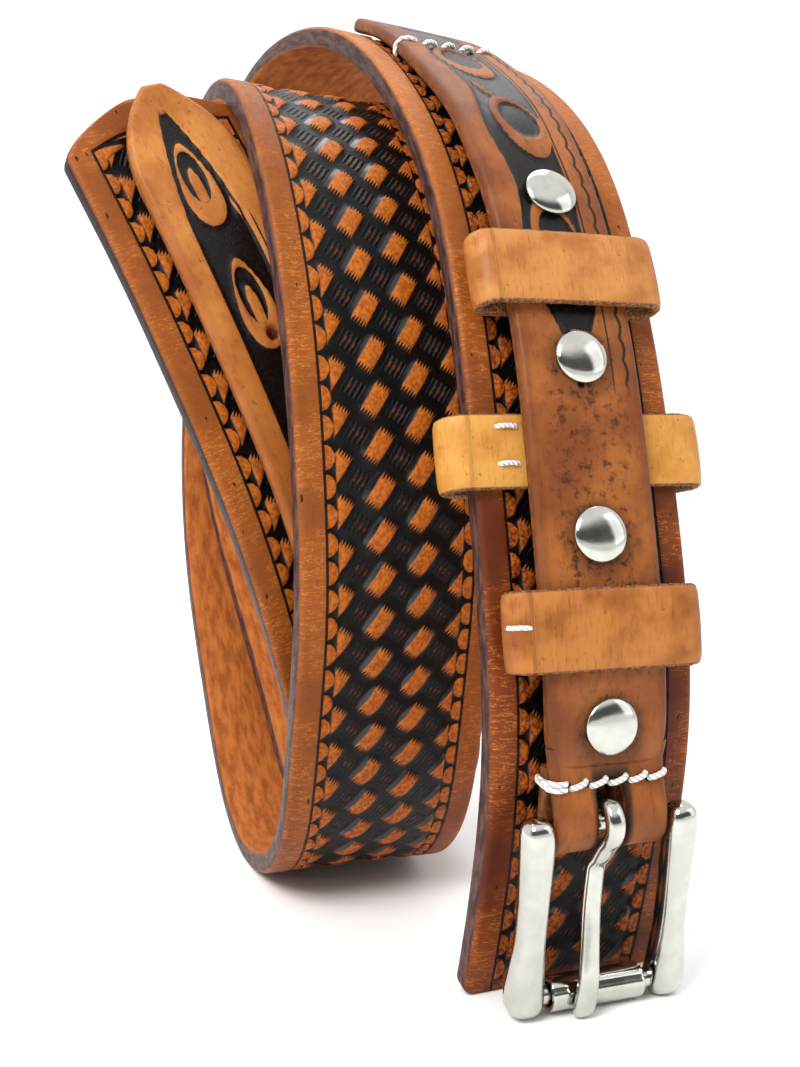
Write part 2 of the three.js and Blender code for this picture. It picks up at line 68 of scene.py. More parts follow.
# The turns of the coil: share of the strap's length, heading, lean and twist in degrees
TURNS = np.array([
    (0.00, -19, 1, -2.5),
    (0.03, -9, 1, -1.5),
    (0.06, 12, 1, 1),
    (0.09, 18, 1, 0),
    (0.12, 29, 1, -2),
    (0.15, 52, -0.5, -2),
    (0.18, 71, -3, -6.5),
    (0.21, 93, -5, -10),
    (0.24, 122, -5.5, -15),
    (0.27, 159, -5, -9),
    (0.30, 171, -4, -5),
    (0.33, 194, -3, -3),
    (0.36, 218, -2.5, -1),
    (0.39, 229, -3, 0.5),
    (0.42, 256, -3.5, -5.5),
    (0.45, 290, -4, 0.5),
    (0.48, 332, -3.5, 1),
    (0.51, 345, -1.5, -1.5),
    (0.54, 362, -2.5, 1),
    (0.57, 381, -3, -5.5),
    (0.60, 413, 1.5, -8),
    (0.63, 454, 5, -3),
    (0.66, 475, 7.5, -2),
    (0.69, 498, 8.5, -2.5),
    (0.72, 522, 8.5, -3),
    (0.75, 557, 7, -3.5),
    (0.78, 582, 3, 0),
    (0.81, 600, -3, -0.5),
    (0.84, 636, -9.5, -3.5),
    (0.87, 679, -15, -2),
    (0.90, 705, -18, -1),
    (0.93, 726, -20, -4),
    (0.96, 741, -19, -1),
    (0.99, 746, -20, -2),
    (1.00, 738, -16, -4),
])


def smooth_column(column, share):
    """A smooth curve through one column of the turns."""
    x, y = TURNS[:, 0], TURNS[:, column]
    last = len(x) - 1
    before = np.maximum(np.arange(last + 1) - 1, 0)
    after = np.minimum(np.arange(last + 1) + 1, last)
    slope = (y[after] - y[before]) / (x[after] - x[before])
    k = np.clip(np.searchsorted(x, share, side="right") - 1, 0, last - 1)
    step = x[k + 1] - x[k]
    t = (share - x[k]) / step
    keep = (1 + 2 * t) * (1 - t) ** 2
    bend = slope[k] * step * t * (1 - t) ** 2 - slope[k + 1] * step * t * t * (1 - t)
    return y[k] * keep + y[k + 1] * (1 - keep) + bend


WALK = 2202
_share = np.linspace(0, 1, WALK + 1)
_heading, _lean, _twist = (np.radians(smooth_column(c, _share)) for c in (1, 2, 3))
ALONG = np.stack([np.sin(_lean), np.cos(_lean) * np.sin(_heading), np.cos(_lean) * np.cos(_heading)], 1)
_level = np.stack([np.cos(_lean), -np.sin(_lean) * np.sin(_heading), -np.sin(_lean) * np.cos(_heading)], 1)
_facing = np.stack([0 * _lean, -np.cos(_heading), np.sin(_heading)], 1)
ACROSS = np.cos(_twist)[:, None] * _level + np.sin(_twist)[:, None] * _facing
OUT = np.cos(_twist)[:, None] * _facing - np.sin(_twist)[:, None] * _level
CENTRE = np.zeros((WALK + 1, 3))
CENTRE[1:] = np.cumsum((ALONG[1:] + ALONG[:-1]) / 2 * STRAP_LENGTH / WALK, 0)


def place(u, s, n):
    """Points on the belt, in mm: u across the strap, s along it, n out of its grain side."""
    u, s, n = np.broadcast_arrays(np.asarray(u, float), np.asarray(s, float), np.asarray(n, float))
    x = np.clip(s / STRAP_LENGTH * WALK, 0, WALK)
    i = np.minimum(x.astype(int), WALK - 1)
    f = (x - i)[..., None]
    mix = lambda rows: rows[i] * (1 - f) + rows[i + 1] * f
    along, across, out = mix(ALONG), mix(ACROSS), mix(OUT)
    past = (s - x / WALK * STRAP_LENGTH)[..., None]
    return mix(CENTRE) + along * past + across * u[..., None] + out * n[..., None]


def shift_to_frame():
    """How far the route lies from the frame's strap, found from their highest corners."""
    low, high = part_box("main_strap")
    s = np.linspace(0, STRAP_LENGTH, 2203)[:, None]
    u = np.array([-19, 19, -19, 19, -18.64, 18.64, -18.64, 18.64, -17.8, 17.8])
    n = np.array([1, 1, -1, -1, 1.84, 1.84, -1.84, -1.84, 2.2, 2.2])
    return np.array(high) / MM - place(u, s, n).reshape(-1, 3).max(0)


SHIFT = shift_to_frame()


# One value that is either an array of numbers or a socket of a shader
class Flow:
    def __init__(self, tree, socket):
        self.tree = tree
        self.socket = socket

    def feed(self, target, value):
        if isinstance(value, Flow):
            self.tree.links.new(value.socket, target)
        elif isinstance(value, (tuple, list)) and len(value) == 3 and target.type == "RGBA":
            target.default_value = (*value, 1)
        else:
            target.default_value = value

    def node(self, kind, settings=None, values=None, output=0):
        made = self.tree.nodes.new(kind)
        for name, value in (settings or {}).items():
            setattr(made, name, value)
        for name, value in (values or {}).items():
            self.feed(made.inputs[name], value)
        return Flow(self.tree, made.outputs[output])

    def maths(self, operation, *others):
        values = dict(enumerate((self, *others)))
        return self.node("ShaderNodeMath", {"operation": operation}, values)

    def __add__(self, other):
        return self.maths("ADD", other)

    __radd__ = __add__

    def __mul__(self, other):
        return self.maths("MULTIPLY", other)

    __rmul__ = __mul__

    def __sub__(self, other):
        return self.maths("SUBTRACT", other)

    def __rsub__(self, other):
        return self * -1 + other

    def __neg__(self):
        return self * -1

    def __truediv__(self, other):
        return self.maths("DIVIDE", other)

    def __pow__(self, other):
        return self.maths("POWER", other)


def rise(x, low, high):
    """0 below low, 1 above high and smooth between; falls instead where low is above high."""
    if isinstance(x, Flow):
        settings = {"interpolation_type": "SMOOTHSTEP"}
        if low <= high:
            return x.node("ShaderNodeMapRange", settings, {0: x, 1: low, 2: high})
        return x.node("ShaderNodeMapRange", settings, {0: x, 1: high, 2: low, 3: 1.0, 4: 0.0})
    t = np.clip((x - low) / (high - low), 0, 1)
    return t * t * (3 - 2 * t)


def size_of(x):
    return x.maths("ABSOLUTE") if isinstance(x, Flow) else np.abs(x)


def nearest(x):
    return x.maths("ROUND") if isinstance(x, Flow) else np.round(x)


def wave(x):
    return x.maths("SINE") if isinstance(x, Flow) else np.sin(x)


def larger(x, y):
    return x.maths("MAXIMUM", y) if isinstance(x, Flow) else np.maximum(x, y)


def between(x, low, high, soft):
    return rise(x, low - soft, low + soft) * rise(x, high + soft, high - soft)


# Tooling of the main strap
WEAVE_ACROSS, WEAVE_ALONG, WEAVE_STEP, WEAVE_START = 7.9, 7.9, 3.2, 4.2
LEAN_SIN, LEAN_COS = math.sin(math.radians(37)), math.cos(math.radians(37))
BORDER = 13.95
FIELD = 11.7


def edge_place(u, s):
    """Distance across from the middle line, which the border also follows round the point."""
    side = size_of(u)
    return larger(side, (s - STRAP_LENGTH) * 0.85 + 19.0 + side * side * 0.011)


def weave_cell(u, s):
    """Place in the nearest basket stamp: along its bar and across it."""
    column = nearest((u - WEAVE_START) / WEAVE_ACROSS)
    du = u - WEAVE_START - column * WEAVE_ACROSS
    row = nearest((s - column * WEAVE_STEP) / WEAVE_ALONG)
    ds = s - column * WEAVE_STEP - row * WEAVE_ALONG
    return du * LEAN_SIN + ds * LEAN_COS, du * LEAN_COS - ds * LEAN_SIN


def weave_bars(u, s):
    """1 on the rubbed tops of the stamps, with comb-like ends."""
    p, q = weave_cell(u, s)
    comb = wave(q * (2 * math.pi / 0.58)) * 0.42
    return rise(size_of(p) + comb, 3.1, 2.3) * rise(size_of(q), 1.72, 1.42)


def weave_dots(u, s):
    """Small rubbed dots between the stamps."""
    p, q = weave_cell(u - 3.95, s - 5.55)
    rows = rise(wave(q * (2 * math.pi / 0.95)), 0.1, 0.7)
    return rise(size_of(p), 0.75, 0.4) * rise(size_of(q), 1.5, 1.2) * rows


def scallops(u, s):
    """1 on the half-round stamps that hang from the border line."""
    side = edge_place(u, s)
    step = s - nearest(s / 5.05) * 5.05
    reach = ((13.55 - side) / 1.75) ** 2 + (step / 2.2) ** 2
    return rise(reach, 1.08, 0.86) * rise(side, 13.75, 13.55)


def strap_relief(u, s):
    """How deep the strap's face is stamped, in mm."""
    side = edge_place(u, s)
    inside = rise(side, BORDER + 0.3, BORDER - 0.25)
    field = rise(side, FIELD + 0.3, FIELD - 0.3)
    p, q = weave_cell(u, s)
    dome = rise((p / 3.7) ** 2 + (q / 2.2) ** 2, 1.0, 0.35)
    return 0.62 * inside * (1 - 0.85 * scallops(u, s)) - field * dome * 0.56


# Carving of the billet at the buckle: petals on a dark panel between two border lines
def billet_centre(s):
    return -0.8 * rise(s, 108.0, 136.0) - 0.8 * rise(s, 134.0, 152.0)


PETALS = [(154.5, 0.9), (178.5, -0.9), (129.5, 0.4)]


def petal_ring(u, s, at, aside, half, long, wide_in, long_in):
    """A leaf-shaped ring: its outer leaf, and the dark hollow in it."""
    ds = s - at
    du = u - aside + ds * 0.16
    outer = rise((du / half) ** 2 + (ds / long) ** 2, 1.06, 0.94)
    hollow = rise(((du - 0.4) / wide_in) ** 2 + ((ds - 1.2) / long_in) ** 2, 1.06, 0.92)
    return outer, hollow


def carve_panel(u, s, low, high):
    narrow = rise(s, 122.0, low) * 5.2
    left = u + 5.6 + 0.7 * wave((s - 147.0) * (2 * math.pi / 26.0)) - narrow
    return rise(left, -0.3, 0.2) * rise(u + narrow, 5.5, 5.2) * between(s, low, high, 1.5)


def carve_ground(u, s):
    """1 where the billet's panel is cut down and dyed dark."""
    ground = carve_panel(u, s, 104.0, 203.0)
    for at, aside in PETALS:
        outer, hollow = petal_ring(u, s, at, aside, 4.5, 8.2, 3.3, 4.9)
        ground = ground * (1 - outer * (1 - hollow))
    sliver = rise(((u + 2.6 + (s - 165.5) * 0.35) / 0.8) ** 2 + ((s - 165.5) / 3.2) ** 2, 1.1, 0.8)
    return ground * (1 - sliver)


def tip_ground(u, s):
    """1 where the pointed billet's panel is cut down and dyed dark."""
    taper = larger(s - 1064.0, s * 0) / 31.0
    half = 5.1 * (1.0 - taper ** 2)
    inside = rise(half - size_of(u + 0.7), -0.15, 0.25) * rise(s, 975.0, 980.0)
    leaf = s - nearest((s - 1077.0) / 23.5) * 23.5 - 1077.0
    along = leaf - 1.5
    width = 3.3 - 0.13 * along
    outer = rise((u + 0.9) ** 2 / width ** 2 + (along / 8.6) ** 2, 1.05, 0.93)
    second = rise(((u - 3.4 + along * 0.2) / 1.25) ** 2 + ((along + 7.0) / 3.6) ** 2, 1.1, 0.85)
    reach = rise(s, 975.0, 980.0) * rise(s, 1095.0, 1092.0)
    seam = rise(size_of(half - size_of(u + 0.7) + 0.1), 0.3, 0.14) * reach
    hollow = rise(((u + 1.0) / 2.2) ** 2 + ((along - 1.4) / 5.4) ** 2, 1.08, 0.9)
    core = rise(((u + 1.1) / 1.05) ** 2 + ((along + 1.0) / 4.4) ** 2, 1.1, 0.85)
    leaves = (1 - outer * (1 - hollow)) * (1 - core * hollow) * (1 - second * (1 - outer))
    return larger(inside * leaves, seam)


# Meshes
def finish_mesh(name, points, lay, faces, body, material, sharp=None):
    """An object from points in mm, with each point's place on its leather kept as an attribute."""
    co = (np.asarray(points).reshape(-1, 3) + SHIFT) * MM
    co[:, 2] = np.maximum(co[:, 2], 0.0)
    mesh = bpy.data.meshes.new(name)
    mesh.from_pydata(co.tolist(), [], faces)
    kept = mesh.attributes.new("lay", "FLOAT_VECTOR", "POINT")
    kept.data.foreach_set("vector", np.asarray(lay, np.float32).ravel())
    mesh.polygons.foreach_set("use_smooth", np.ones(len(mesh.polygons), bool))
    work = bmesh.new()
    work.from_mesh(mesh)
    bmesh.ops.recalc_face_normals(work, faces=work.faces)
    if sharp is not None:
        for edge in work.edges:
            if len(edge.link_faces) == 2 and edge.calc_face_angle() > math.radians(sharp):
                edge.smooth = False
    work.to_mesh(mesh)
    work.free()
    mesh.materials.append(material)
    made = bpy.data.objects.new(name, mesh)
    bpy.context.scene.collection.objects.link(made)
    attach(made, body)
    return made


def ring_faces(rings, size, start=0, ends=True, loop=False):
    """Quads between rings of the same size, with flat ends or joined up into a loop."""
    faces = []
    last = rings if loop else rings - 1
    for r in range(last):
        a = start + r * size
        b = start + ((r + 1) % rings) * size
        for k in range(size):
            j = (k + 1) % size
            faces.append((a + k, a + j, b + j, b + k))
    if ends and not loop:
        faces.append(tuple(range(start + size - 1, start - 1, -1)))
        faces.append(tuple(range(start + (rings - 1) * size, start + rings * size)))
    return faces


def band_rings(s, centre, half, under, top, round_top, round_under, across, beneath):
    """Cross-sections of a strap with rounded edges, as (u, s, n) for each point of each ring."""
    s, centre, half, under, top = np.broadcast_arrays(s, centre, half, under, top)
    column = lambda x: np.asarray(x, float)[:, None]
    thick = column(top - under)
    rt = np.minimum(round_top, thick * 0.48)
    ru = np.minimum(round_under, thick * 0.48)
    t = np.linspace(-1, 1, across)[None, :]
    bend = np.radians(np.linspace(90, 0, 6))[None, 1:]
    turn = np.radians(np.linspace(0, -90, 5))[None, :-1]
    b = np.linspace(1, -1, beneath)[None, :]
    hw = column(half)
    u_top, n_top = t * (hw - rt), column(top) + 0 * t
    u_r1, n_r1 = hw - rt + rt * np.cos(bend), column(top) - rt + rt * np.sin(bend)
    u_r2, n_r2 = hw - ru + ru * np.cos(turn), column(under) + ru + ru * np.sin(turn)
    u_bot, n_bot = b * (hw - ru), column(under) + 0 * b
    u = np.concatenate([u_top, u_r1, u_r2, u_bot, -u_r2[:, ::-1], -u_r1[:, ::-1]], 1)
    n = np.concatenate([n_top, n_r1, n_r2, n_bot, n_r2[:, ::-1], n_r1[:, ::-1]], 1)
    return u + column(centre), np.repeat(column(s), u.shape[1], 1), n


def steps(*stretches):
    """Stations from stretches of (from, to, step)."""
    parts = [np.linspace(a, b, max(2, int(round((b - a) / d)) + 1))[:-1] for a, b, d in stretches]
    return np.concatenate([*parts, [stretches[-1][1]]])


def strap_half(s):
    point = np.clip(1 - (STRAP_LENGTH - s) / 9.0, 0, 1) ** 1.6
    corner = np.clip(1 - s / 2.4, 0, 1)
    return STRAP_HALF * (1 - point) + 4.0 * point - 2.4 * (1 - np.sqrt(1 - corner ** 2))


def end_ease(s, low, high, reach):
    """How much a strap thins towards its cut ends."""
    from_end = np.minimum(s - low, high - s)
    return np.clip(1 - from_end / reach, 0, 1) ** 2


def make_strap(material):
    s = steps((0, 1.2, 0.3), (1.2, 228, 0.72), (228, 500, 1.4), (500, 760, 0.72), (760, 915, 1.4),
              (915, 1099.5, 0.72), (1099.5, STRAP_LENGTH, 0.4))
    thin = end_ease(s, 0, STRAP_LENGTH, 1.2) * 0.8
    u, along, n = band_rings(s, 0, strap_half(s), -FACE + thin, FACE - thin, 1.3, 1.1, 52, 9)
    lay = np.stack([u, along, n], -1)
    top = rise(n, 1.9, 2.1)
    ends = rise(along, 0.5, 2.5)
    sunk = n - top * ends * strap_relief(u, along)
    points = place(u, along, sunk)
    return finish_mesh("strap", points, lay, ring_faces(*u.shape), "belt", material)


def buckle_under(s):
    return BILLET_UNDER + (LAY_DOWN - BILLET_UNDER) * rise(s, 152.0, 184.0)


def tip_under(s):
    return LAY_DOWN + (BILLET_UNDER - LAY_DOWN) * rise(s, 921.0, 953.0)


def make_buckle_billet(material):
    s = steps((44.0, 212, 0.72), (212, BILLET_END, 0.4))
    thin = end_ease(s, -10, BILLET_END, 1.2) * 0.7
    half = 10.4 + 0.6 * rise(s, 44.5, 50) - 2.2 * rise(s, BILLET_END - 4, BILLET_END)
    under = buckle_under(s)
    middle = billet_centre(s)
    u, along, n = band_rings(s, middle, half, under + thin, under + BILLET_THICK - thin, 1.25, 0.7, 34, 6)
    own = u - middle[:, None]
    lay = np.stack([own, along, n - under[:, None]], -1)
    top = rise(n - under[:, None], 2.6, 2.75)
    sunk = n - top * carve_ground(own, along) * 0.45
    swell = 0.25 * top * (1 - (own / 11.0) ** 2)
    points = place(u, along, sunk + swell * 0.6)
    return finish_mesh("billet_at_buckle", points, lay, ring_faces(*u.shape), "belt", material)


def make_tip_billet(material):
    s = steps((TIP_ROOT, TIP_ROOT + 1.2, 0.3), (TIP_ROOT + 1.2, 975, 1.4), (975, 1096, 0.72),
              (1096, 1100.5, 0.4))
    thin = end_ease(s, TIP_ROOT, 1100.5, 1.0) * 0.7
    t = np.clip(1 - (STRAP_LENGTH - s) / 22.0, 0, 1)
    half = BILLET_HALF + (1.6 - BILLET_HALF) * t ** 2.3
    under = tip_under(s)
    u, along, n = band_rings(s, 0, half, under + thin, under + BILLET_THICK - thin, 1.25, 0.7, 34, 6)
    face = n - under[:, None] > 2.6
    for at in HOLES:
        away = np.hypot(u, along - at)
        rim = face & (away > 1.15) & (away < 2.05)
        onto = np.where(rim, HOLE_RADIUS / np.maximum(away, 0.01), 1.0)
        u, along = u * onto, at + (along - at) * onto
        n = np.where(face & (away <= 1.15), under[:, None] + HOLE_FLOOR, n)
    lay = np.stack([u, along, n - under[:, None]], -1)
    top = rise(n - under[:, None], 2.6, 2.75)
    sunk = n - top * tip_ground(u, along) * 0.45
    return finish_mesh("billet_at_point", place(u, along, sunk), lay, ring_faces(*u.shape), "belt", material)


# The fold round the pivot bar, cut through by the tongue's slot
PIVOT_AT, PIVOT_HIGH, FOLD_THICK = 34.5, 6.7, 2.3
SLOT_HALF, SLOT_TOP = 2.7, 42.0


def fold_path():
    """Middle line of the fold's leather: distance along the strap, and height, from front to back."""
    reach = 1.85 + FOLD_THICK / 2
    front = [(47, 6.48), (45.4, 6.54), (44, 6.64), (42.8, 6.86), (41.6, 7.2), (40.4, 7.66),
             (39, 8.3), (37.6, 8.95), (36, 9.5)]
    turn = np.radians(np.linspace(90, 270, 22))
    arc = [(PIVOT_AT + reach * math.cos(a), PIVOT_HIGH + reach * math.sin(a)) for a in turn]
    back = [(36 + 1.5 * k, 3.72) for k in range(6)]
    return np.array(front + arc + back)


def refine(points, count):
    """A smooth curve through points, with evenly spread places on it."""
    points = np.asarray(points, float)
    padded = np.vstack([2 * points[0] - points[1], points, 2 * points[-1] - points[-2]])
    fine = []
    for i in range(1, len(padded) - 2):
        a, b, c, d = padded[i - 1:i + 3]
        t = np.linspace(0, 1, 12, endpoint=False)[:, None]
        fine.append(0.5 * (2 * b + (c - a) * t + (2 * a - 5 * b + 4 * c - d) * t ** 2
                           + (3 * b - a - 3 * c + d) * t ** 3))
    fine = np.vstack([*fine, points[-1:]])
    run = np.concatenate([[0], np.cumsum(np.linalg.norm(np.diff(fine, axis=0), axis=1))])
    even = np.linspace(0, run[-1], count)
    return np.stack([np.interp(even, run, fine[:, k]) for k in range(fine.shape[1])], 1)


def make_fold(material):
    path = refine(fold_path(), 96)
    run = np.gradient(path, axis=0)
    run /= np.linalg.norm(run, axis=1)[:, None]
    normal = np.stack([run[:, 1], -run[:, 0]], 1)
    middle = np.array([PIVOT_AT, PIVOT_HIGH])
    if ((path[20] - middle) @ normal[20]) < 0:
        normal = -normal
    s = path[:, 0]
    deep = np.clip((SLOT_TOP - s) / SLOT_HALF, 0, 1)
    slot = SLOT_HALF * np.sqrt(1 - (1 - deep) ** 2)
    half = 10.4 + 0.6 * rise(s, 44.0, 47.0) + 0.1
    points, lay, faces = [], [], []
    for side in (-1, 1):
        start = sum(len(p) for p in points)
        count = 16
        t = np.linspace(0, 1, count)[None, :]
        w, h = slot[:, None], half[:, None]
        hs = FOLD_THICK / 2
        soft = np.minimum(0.45, w * 0.5)
        outer_u = w + soft + (h - 0.9 - w - soft) * t
        edge = np.radians(np.linspace(80, -80, 7))[None, :]
        edge_u = h - 0.9 + 0.9 * np.cos(edge)
        edge_d = hs * np.sin(edge) / math.sin(math.radians(80)) * 0.96
        inner_u = outer_u[:, ::-1]
        wall_u = np.concatenate([w, w], 1)
        wall_d = np.concatenate([-(hs - soft), hs - soft], 1)
        u = np.concatenate([outer_u, edge_u, inner_u, wall_u], 1) * side
        d = np.concatenate([0 * outer_u + hs, edge_d + 0 * h, 0 * inner_u - hs, wall_d], 1)
        along = s[:, None] + normal[:, :1] * d
        high = path[:, 1:] + normal[:, 1:] * d
        points.append(place(u, along, high).reshape(-1, 3))
        lay.append(np.stack([u, along, d + hs], -1).reshape(-1, 3))
        faces += ring_faces(*u.shape, start=start)
    return finish_mesh("fold", np.vstack(points), np.vstack(lay), faces, "belt", material, sharp=50)


# Keepers
def make_keeper(name, centre, half_reach, under, top, swell, seed, material):
    radius = (top - under) / 2 - KEEPER_THICK / 2
    mid = (top + under) / 2
    reach = half_reach - radius - KEEPER_THICK / 2
    rng = np.random.default_rng(seed)
    front = [(x, mid + radius, 0, 1) for x in np.linspace(-reach, reach, 26)]
    bend = np.radians(np.linspace(90, -90, 16))[1:-1]
    right = [(reach + radius * math.cos(a), mid + radius * math.sin(a), math.cos(a), math.sin(a))
             for a in bend]
    back = [(x, mid - radius, 0, -1) for x in np.linspace(reach, -reach, 16)]
    left = [(-x, y, -i, j) for x, y, i, j in right[::-1]]
    loop = np.array(front + right + back + left)
    side, high = loop[:, 0], loop[:, 1]
    bulge = swell * np.clip(1 - (side / half_reach) ** 2, 0, 1) * (loop[:, 3] > 0.3)
    v = np.concatenate([np.linspace(-1, 1, 20), [1.0] * 5, np.linspace(1, -1, 20), [-1.0] * 5])
    d = np.concatenate([[1.0] * 20, np.cos(np.linspace(0.35, math.pi - 0.35, 5)), [-1.0] * 20,
                        -np.cos(np.linspace(0.35, math.pi - 0.35, 5))])
    puff = np.concatenate([np.zeros(20), np.sin(np.linspace(0.35, math.pi - 0.35, 5)), np.zeros(20),
                           -np.sin(np.linspace(0.35, math.pi - 0.35, 5))])
    half = KEEPER_BAND / 2 - 0.7
    rough = rng.normal(0, 0.05, (len(loop), len(v))) * (np.abs(puff) > 0)[None, :]
    across = v[None, :] * half + puff[None, :] * 0.7 + rough
    crown = 0.16 * (1 - v ** 2) * (d > 0.9)
    thick = d[None, :] * KEEPER_THICK / 2 * (1 - 0.12 * (np.abs(v) > 0.99))[None, :] + crown[None, :]
    u = side[:, None] + loop[:, 2:3] * thick
    n = high[:, None] + bulge[:, None] + loop[:, 3:] * thick
    points = place(u, centre + across, n)
    run = np.concatenate([[0], np.cumsum(np.hypot(np.diff(side), np.diff(high)))])
    lay = np.stack([np.repeat(run[:, None], len(v), 1), across, np.repeat(d[None, :], len(loop), 0)], -1)
    faces = ring_faces(len(loop), len(v), loop=True)
    return finish_mesh(name, points, lay, faces, "belt", material)


# Hard pieces
def axes_at(s, n):
    origin = place(0, s, n)
    across = place(1, s, n) - origin
    out = place(0, s, n + 1) - origin
    return origin, across, out, np.cross(across, out)


PIVOT = axes_at(PIVOT_AT, PIVOT_HIGH)


def on_pivot(x, lift, drop):
    """Points in the buckle's own axes: across, out of the leather and down the strap."""
    origin, across, out, down = PIVOT
    x, lift, drop = (np.asarray(v, float)[..., None] for v in np.broadcast_arrays(x, lift, drop))
    return origin + across * x + out * lift + down * drop


def turned(profile, sides):
    """Rings of a profile of (radius, distance) turned about an axis: side, height and distance."""
    profile = np.asarray(profile, float)
    a = np.linspace(0, 2 * math.pi, sides, endpoint=False)[None, :]
    return profile[:, :1] * np.cos(a), profile[:, :1] * np.sin(a), np.repeat(profile[:, 1:], sides, 1)


def make_snap(name, s, under, material):
    cap = under + BILLET_THICK + 0.35
    profile = [
        (0.02, -3.3), (2.6, -3.3), (3.9, -3.2), (4.3, -2.95), (4.4, -2.7), (4.3, -2.5), (1.5, -2.5),
        (1.5, 2.6), (4.1, 2.6), (4.1, under - 0.35), (1.5, under - 0.35), (1.5, cap), (4.35, cap - 0.1),
        (4.68, cap + 0.02), (4.78, cap + 0.22), (4.76, cap + 0.42), (4.62, cap + 0.6), (4.3, cap + 0.82),
        (3.7, cap + 1.12), (2.9, cap + 1.36), (2.0, cap + 1.53), (1.0, cap + 1.64), (0.02, cap + 1.68),
    ]
    x, y, z = turned(profile, 48)
    origin, across, out, down = axes_at(s, 0)
    points = origin + across * x[..., None] + down * y[..., None] + out * z[..., None]
    lay = np.stack([x, y, z], -1)
    return finish_mesh(name, points, lay, ring_faces(*x.shape), "belt", material, sharp=40)


def superellipse(count, power):
    a = np.linspace(0, 2 * math.pi, count, endpoint=False)
    c, s = np.cos(a), np.sin(a)
    return np.sign(c) * np.abs(c) ** (2 / power), np.sign(s) * np.abs(s) ** (2 / power)


# Arms: place down the frame, middle across, width, depth and lift
ARM = np.array([
    (-3.1, 13.55, 1.2, 1.2, 2.45),
    (-2.95, 13.55, 2.6, 2.6, 2.5),
    (-2.5, 13.55, 3.9, 4.0, 2.55),
    (-1.6, 13.5, 5.0, 5.0, 2.6),
    (0.0, 13.45, 5.5, 5.5, 2.75),
    (3.0, 13.4, 5.5, 5.6, 2.95),
    (8.0, 13.35, 5.1, 5.5, 3.1),
    (14.0, 13.3, 4.7, 5.4, 3.25),
    (19.5, 13.3, 4.8, 5.5, 3.3),
    (24.0, 13.4, 5.6, 6.0, 3.3),
    (27.5, 13.45, 6.3, 6.4, 3.2),
    (29.8, 13.4, 6.3, 6.3, 3.1),
    (31.1, 13.3, 5.2, 5.3, 3.05),
    (31.75, 13.25, 3.4, 3.4, 3.0),
    (31.9, 13.2, 1.2, 1.2, 3.0),
])


def make_buckle_frame(material):
    points, lay, faces, start = [], [], [], 0
    cx, cy = superellipse(28, 2.7)
    for side in (-1, 1):
        rows = refine(ARM, 72)
        x = side * rows[:, 1:2] + cx[None, :] * rows[:, 2:3] / 2
        lift = rows[:, 4:5] + cy[None, :] * rows[:, 3:4] / 2
        drop = np.repeat(rows[:, :1], 28, 1)
        points.append(on_pivot(x, lift, drop).reshape(-1, 3))
        lay.append(np.stack([x, lift, drop], -1).reshape(-1, 3))
        faces += ring_faces(*x.shape, start=start)
        start += x.size
    for radius, lift, drop in ((1.5, 0.0, 0.0), (1.7, 2.9, 29.1)):
        a, b, x = turned([(radius, d) for d in np.linspace(-13, 13, 9)], 24)
        points.append(on_pivot(x, lift + a, drop + b).reshape(-1, 3))
        lay.append(np.stack([x, a, b], -1).reshape(-1, 3))
        faces += ring_faces(*x.shape, start=start)
        start += x.size
    return finish_mesh("frame_of_buckle", np.vstack(points), np.vstack(lay), faces, "frame", material)


def make_roller(material):
    half = 8.8
    profile = [(2.05, -half + 0.2), (2.3, -half), (2.8, -half + 0.05), (2.98, -half + 0.3)]
    profile += [(3.0, d) for d in np.linspace(-half + 0.7, half - 0.7, 9)]
    profile += [(2.98, half - 0.3), (2.8, half - 0.05), (2.3, half), (2.05, half - 0.2)]
    profile += [(2.0, d) for d in np.linspace(half - 0.6, -half + 0.6, 5)]
    a, b, x = turned(profile, 48)
    seam = rise(np.abs(np.arctan2(a, b) - 2.2), 0.07, 0.02) * 0.16
    keep = 1 - seam / 3.0
    points = on_pivot(x - 0.2, 2.9 + a * keep, 29.1 + b * keep)
    lay = np.stack([x, a, b], -1)
    return finish_mesh("roller", points, lay, ring_faces(*x.shape, loop=True), "roller", material, sharp=40)


# Tongue: turn about the bar in degrees and reach from it, then drop and lift of the shank
HOOK = [(-40, 2.95), (-65, 2.95), (-90, 2.95), (-115, 2.95), (-140, 2.95), (-165, 3.07), (-187, 3.69),
        (-206, 4.78), (-222, 5.52), (-240, 5.84), (-258, 5.81), (-278, 5.37), (-299, 4.93)]
SHANK = [(4.66, 3.14), (6.4, 2.12), (8.15, 2.04), (13.97, 3.21), (20.4, 5.33), (25.0, 6.79), (29.1, 7.3),
         (30.85, 6.95), (31.4, 6.75), (31.6, 6.7)]


